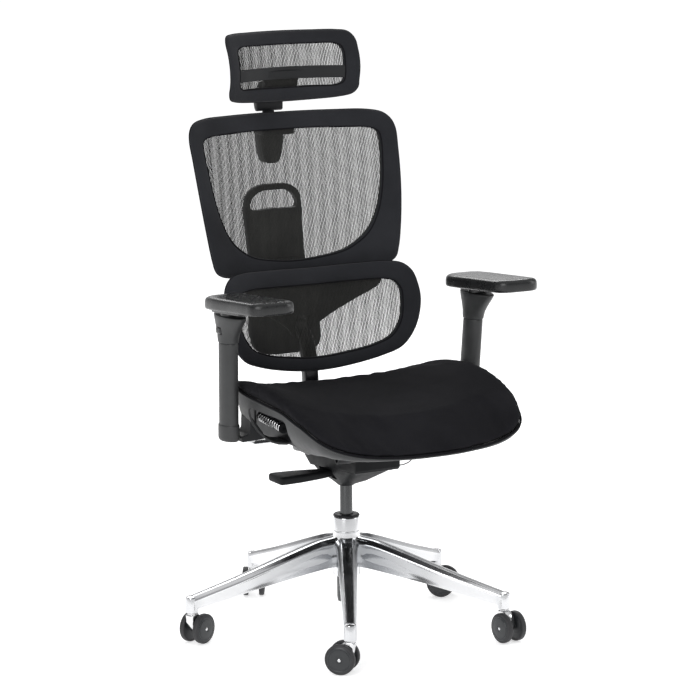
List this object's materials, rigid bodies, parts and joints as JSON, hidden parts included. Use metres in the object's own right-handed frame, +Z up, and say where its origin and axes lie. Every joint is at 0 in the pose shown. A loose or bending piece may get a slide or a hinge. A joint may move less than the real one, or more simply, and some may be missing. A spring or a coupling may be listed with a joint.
{
  "type": "swivel office chair",
  "caption": "Swivel office chair with a mesh back, split lumbar panel, headrest, adjustable arms, padded seat and a polished star base on casters.",
  "frame": {"origin": "on the floor under the gas column", "axes": "+Z up, the sitter faces -Y, +X is the sitter's left"},
  "size_m": [0.6768, 0.7284, 1.1833],
  "materials": {
    "polished_aluminium": "polished",
    "chrome": "bright",
    "steel": "satin",
    "grey_plastic": "fine moulded grain",
    "gloss_black": "gloss",
    "arm_pad_skin": "soft polyurethane skin",
    "wheel_nylon": "satin gloss",
    "seat_fabric": "fine woven polyester",
    "border_fabric": "close mesh-weave polyester",
    "mesh_fabric": "open ribbed mesh"
  },
  "bodies": {
    "base": {"star_base": "polished_aluminium", "column_outer_tube": "steel", "column_collar": "grey_plastic", "column_guide_bushing": "grey_plastic", "thrust_bearing": "steel"},
    "caster_1": {"caster_1_fork": "chrome"},
    "caster_1_wheel_a": {"caster_1_wheel_a": "wheel_nylon"},
    "caster_1_wheel_b": {"caster_1_wheel_b": "wheel_nylon"},
    "caster_2": {"caster_2_fork": "chrome"},
    "caster_2_wheel_a": {"caster_2_wheel_a": "wheel_nylon"},
    "caster_2_wheel_b": {"caster_2_wheel_b": "wheel_nylon"},
    "caster_3": {"caster_3_fork": "chrome"},
    "caster_3_wheel_a": {"caster_3_wheel_a": "wheel_nylon"},
    "caster_3_wheel_b": {"caster_3_wheel_b": "wheel_nylon"},
    "caster_4": {"caster_4_fork": "chrome"},
    "caster_4_wheel_a": {"caster_4_wheel_a": "wheel_nylon"},
    "caster_4_wheel_b": {"caster_4_wheel_b": "wheel_nylon"},
    "caster_5": {"caster_5_fork": "chrome"},
    "caster_5_wheel_a": {"caster_5_wheel_a": "wheel_nylon"},
    "caster_5_wheel_b": {"caster_5_wheel_b": "wheel_nylon"},
    "lift_rod": {"piston_rod": "steel"},
    "mechanism": {"gas_cylinder": "steel", "mechanism_housing": "grey_plastic", "mechanism_cover": "grey_plastic", "seat_pivot_pin": "steel", "back_pivot_pin": "steel", "slide_cable": "steel"},
    "release_pin": {"release_pin": "steel"},
    "height_lever": {"height_lever": "grey_plastic"},
    "tilt_lock_lever": {"tilt_lock_lever": "grey_plastic"},
    "seat_carrier": {"seat_carrier": "steel"},
    "seat": {"seat_pan": "grey_plastic", "seat_cushion": "seat_fabric", "tilt_spring_left": "chrome", "tilt_spring_right": "chrome", "arm_bracket_left": "grey_plastic", "arm_bracket_right": "grey_plastic", "arm_post_left": "grey_plastic", "arm_post_right": "grey_plastic"},
    "slide_release_lever": {"slide_release_lever": "grey_plastic"},
    "arm_head_left": {"arm_head_left": "grey_plastic"},
    "arm_button_left": {"arm_button_left": "gloss_black"},
    "pad_plate_left": {"pad_plate_left": "gloss_black"},
    "arm_pad_left": {"arm_pad_left": "arm_pad_skin"},
    "arm_head_right": {"arm_head_right": "grey_plastic"},
    "arm_button_right": {"arm_button_right": "gloss_black"},
    "pad_plate_right": {"pad_plate_right": "gloss_black"},
    "arm_pad_right": {"arm_pad_right": "arm_pad_skin"},
    "back": {"back_upright": "gloss_black", "lumbar_pivot_pin": "steel"},
    "lumbar": {"lumbar_yoke": "grey_plastic", "lumbar_frame": "border_fabric", "lumbar_mesh": "mesh_fabric"},
    "upper_back": {"spine_panel": "grey_plastic", "upper_frame": "border_fabric", "upper_mesh": "mesh_fabric", "headrest_guide": "grey_plastic"},
    "headrest_post": {"headrest_stem": "grey_plastic"},
    "headrest": {"headrest_frame": "border_fabric", "headrest_mesh": "mesh_fabric"}
  },
  "joints": [
    {"name": "caster_1_swivel", "type": "hinge", "parent": "base", "child": "caster_1", "pos_m": [-0.14755, -0.28958, 0.03], "axis": [0, 0, 1], "continuous": true},
    {"name": "caster_1_roll_a", "type": "hinge", "parent": "caster_1", "child": "caster_1_wheel_a", "pos_m": [-0.15906, -0.27846, 0.03], "axis": [0.6947, 0.7193, 0], "continuous": true},
    {"name": "caster_1_roll_b", "type": "hinge", "parent": "caster_1", "child": "caster_1_wheel_b", "pos_m": [-0.15906, -0.27846, 0.03], "axis": [0.6947, 0.7193, 0], "continuous": true},
    {"name": "caster_2_swivel", "type": "hinge", "parent": "base", "child": "caster_2", "pos_m": [0.22981, -0.22981, 0.03], "axis": [0, 0, 1], "continuous": true},
    {"name": "caster_2_roll_a", "type": "hinge", "parent": "caster_2", "child": "caster_2_wheel_a", "pos_m": [0.23176, -0.24569, 0.03], "axis": [-0.9925, -0.1219, 0], "continuous": true},
    {"name": "caster_2_roll_b", "type": "hinge", "parent": "caster_2", "child": "caster_2_wheel_b", "pos_m": [0.23176, -0.24569, 0.03], "axis": [-0.9925, -0.1219, 0], "continuous": true},
    {"name": "caster_3_swivel", "type": "hinge", "parent": "base", "child": "caster_3", "pos_m": [0.28958, 0.14755, 0.03], "axis": [0, 0, 1], "continuous": true},
    {"name": "caster_3_roll_a", "type": "hinge", "parent": "caster_3", "child": "caster_3_wheel_a", "pos_m": [0.30007, 0.13547, 0.03], "axis": [-0.7547, -0.6561, 0], "continuous": true},
    {"name": "caster_3_roll_b", "type": "hinge", "parent": "caster_3", "child": "caster_3_wheel_b", "pos_m": [0.30007, 0.13547, 0.03], "axis": [-0.7547, -0.6561, 0], "continuous": true},
    {"name": "caster_4_swivel", "type": "hinge", "parent": "base", "child": "caster_4", "pos_m": [-0.05084, 0.321, 0.03], "axis": [0, 0, 1], "continuous": true},
    {"name": "caster_4_roll_a", "type": "hinge", "parent": "caster_4", "child": "caster_4_wheel_a", "pos_m": [-0.04333, 0.33513, 0.03], "axis": [0.8829, -0.4695, 0], "continuous": true},
    {"name": "caster_4_roll_b", "type": "hinge", "parent": "caster_4", "child": "caster_4_wheel_b", "pos_m": [-0.04333, 0.33513, 0.03], "axis": [0.8829, -0.4695, 0], "continuous": true},
    {"name": "caster_5_swivel", "type": "hinge", "parent": "base", "child": "caster_5", "pos_m": [-0.321, 0.05084, 0.03], "axis": [0, 0, 1], "continuous": true},
    {"name": "caster_5_roll_a", "type": "hinge", "parent": "caster_5", "child": "caster_5_wheel_a", "pos_m": [-0.30662, 0.05785, 0.03], "axis": [0.4384, -0.8988, 0], "continuous": true},
    {"name": "caster_5_roll_b", "type": "hinge", "parent": "caster_5", "child": "caster_5_wheel_b", "pos_m": [-0.30662, 0.05785, 0.03], "axis": [0.4384, -0.8988, 0], "continuous": true},
    {"name": "seat_swivel", "type": "hinge", "parent": "base", "child": "lift_rod", "pos_m": [0, 0, 0.06], "axis": [0, 0, 1], "continuous": true},
    {"name": "seat_height", "type": "slide", "parent": "lift_rod", "child": "mechanism", "axis": [0, 0, 1], "range_m": [-0.055, 0.045]},
    {"name": "height_lever_lift", "type": "hinge", "parent": "mechanism", "child": "height_lever", "pos_m": [-0.042, 0, 0.326], "axis": [0, 1, 0], "range_deg": [0, 8], "stiffness_Nm_per_rad": 1, "springref_deg": -20.05},
    {"name": "release_pin_press", "type": "slide", "parent": "mechanism", "child": "release_pin", "axis": [0, 0, -1], "range_m": [0, 0.003]},
    {"name": "tilt_lock_turn", "type": "hinge", "parent": "mechanism", "child": "tilt_lock_lever", "pos_m": [0.042, 0, 0.326], "axis": [0, -1, 0], "range_deg": [0, 12]},
    {"name": "back_recline", "type": "hinge", "parent": "mechanism", "child": "back", "pos_m": [0, 0.045, 0.37], "axis": [-1, 0, 0], "range_deg": [0, 22], "stiffness_Nm_per_rad": 60, "springref_deg": -34.38},
    {"name": "seat_tilt", "type": "hinge", "parent": "mechanism", "child": "seat_carrier", "pos_m": [0, -0.105, 0.378], "axis": [-1, 0, 0], "range_deg": [0, 7]},
    {"name": "seat_depth", "type": "slide", "parent": "seat_carrier", "child": "seat", "axis": [0, -1, 0], "range_m": [0, 0.05]},
    {"name": "depth_catch_turn", "type": "hinge", "parent": "seat", "child": "slide_release_lever", "pos_m": [-0.085, -0.172, 0.391], "axis": [1, 0, 0], "range_deg": [0, 20], "stiffness_Nm_per_rad": 0.2, "springref_deg": -11.46},
    {"name": "arm_height_left", "type": "slide", "parent": "seat", "child": "arm_head_left", "axis": [0.0296, -0.0762, 0.9966], "range_m": [0, 0.08]},
    {"name": "arm_button_press_left", "type": "slide", "parent": "arm_head_left", "child": "arm_button_left", "axis": [-1, 0, 0], "range_m": [0, 0.003], "stiffness_N_per_m": 500},
    {"name": "pad_swivel_left", "type": "hinge", "parent": "arm_head_left", "child": "pad_plate_left", "pos_m": [0.27557, -0.04951, 0.675], "axis": [0, 0, 1], "range_deg": [-15, 15]},
    {"name": "pad_depth_left", "type": "slide", "parent": "pad_plate_left", "child": "arm_pad_left", "axis": [0, -0.9975, 0.0708], "range_m": [-0.03, 0.03]},
    {"name": "arm_height_right", "type": "slide", "parent": "seat", "child": "arm_head_right", "axis": [-0.0296, -0.0762, 0.9966], "range_m": [0, 0.08]},
    {"name": "arm_button_press_right", "type": "slide", "parent": "arm_head_right", "child": "arm_button_right", "axis": [1, 0, 0], "range_m": [0, 0.003], "stiffness_N_per_m": 500},
    {"name": "pad_swivel_right", "type": "hinge", "parent": "arm_head_right", "child": "pad_plate_right", "pos_m": [-0.27557, -0.04951, 0.675], "axis": [0, 0, 1], "range_deg": [-15, 15]},
    {"name": "pad_depth_right", "type": "slide", "parent": "pad_plate_right", "child": "arm_pad_right", "axis": [0, -0.9975, 0.0708], "range_m": [-0.03, 0.03]},
    {"name": "lumbar_pivot", "type": "hinge", "parent": "back", "child": "lumbar", "pos_m": [0, 0.19, 0.584], "axis": [-1, 0, 0], "range_deg": [-4, 4], "stiffness_Nm_per_rad": 80, "springref_deg": 0.52},
    {"name": "back_height", "type": "slide", "parent": "back", "child": "upper_back", "axis": [0, 0.2325, 0.9726], "range_m": [0, 0.05]},
    {"name": "headrest_height", "type": "slide", "parent": "upper_back", "child": "headrest_post", "axis": [0, 0.0678, 0.9977], "range_m": [0, 0.05]},
    {"name": "headrest_tilt", "type": "hinge", "parent": "headrest_post", "child": "headrest", "pos_m": [0, 0.288, 1.072], "axis": [-1, 0, 0], "range_deg": [-15, 20]}
  ],
  "couplings": [
    {"joint": "release_pin_press", "follows": "height_lever_lift", "m_per_rad": 0.02},
    {"joint": "seat_tilt", "follows": "back_recline", "ratio": 0.3}
  ]
}
